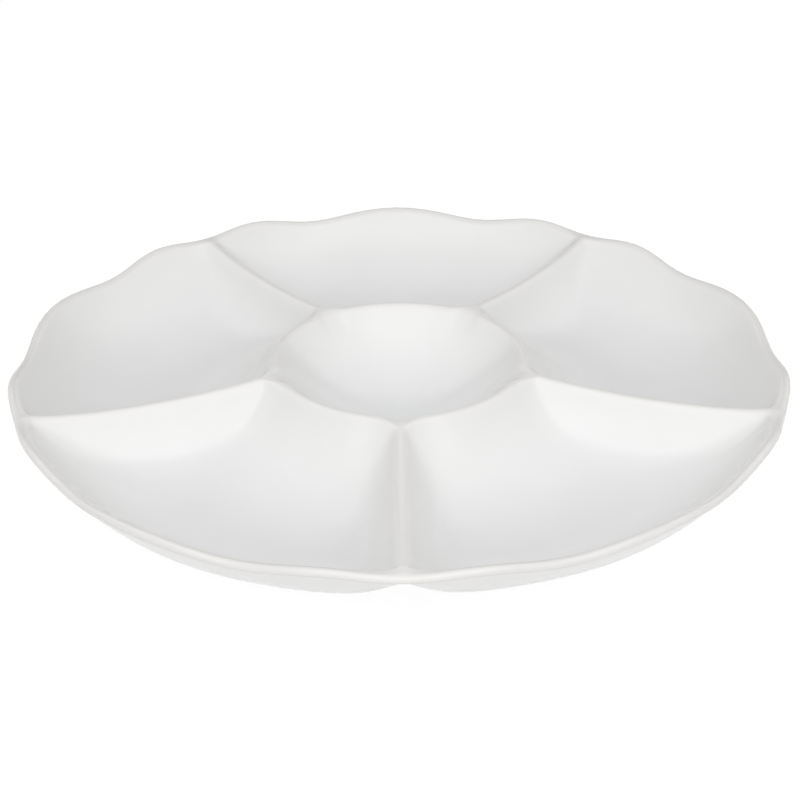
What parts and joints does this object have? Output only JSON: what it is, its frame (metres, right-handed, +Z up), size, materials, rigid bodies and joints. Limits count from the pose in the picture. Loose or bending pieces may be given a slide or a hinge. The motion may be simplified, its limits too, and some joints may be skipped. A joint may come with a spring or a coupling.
{
  "type": "appetizer dish",
  "caption": "Round white serving dish with a scalloped rim, petal-shaped wells between radial ridges and a small bowl in the centre, for snacks and a dip.",
  "frame": {"origin": "centre of the flat base under the centre bowl, on the table plane and on the axis of the rim", "axes": "+Z up out of the dish, -Y along the divider that points at the camera in the picture, +X to the right as seen there"},
  "size_m": [0.297, 0.2993, 0.0311],
  "materials": {
    "glazed_porcelain": "gloss white glaze"
  },
  "bodies": {
    "root": {"centre_bowl": "glazed_porcelain", "centre_ring": "glazed_porcelain", "compartment_front_right": "glazed_porcelain", "compartment_right": "glazed_porcelain", "compartment_back": "glazed_porcelain", "compartment_left": "glazed_porcelain", "compartment_front_left": "glazed_porcelain", "divider_front": "glazed_porcelain", "divider_right": "glazed_porcelain", "divider_back_right": "glazed_porcelain", "divider_back_left": "glazed_porcelain", "divider_left": "glazed_porcelain", "scalloped_rim": "glazed_porcelain"}
  },
  "joints": []
}
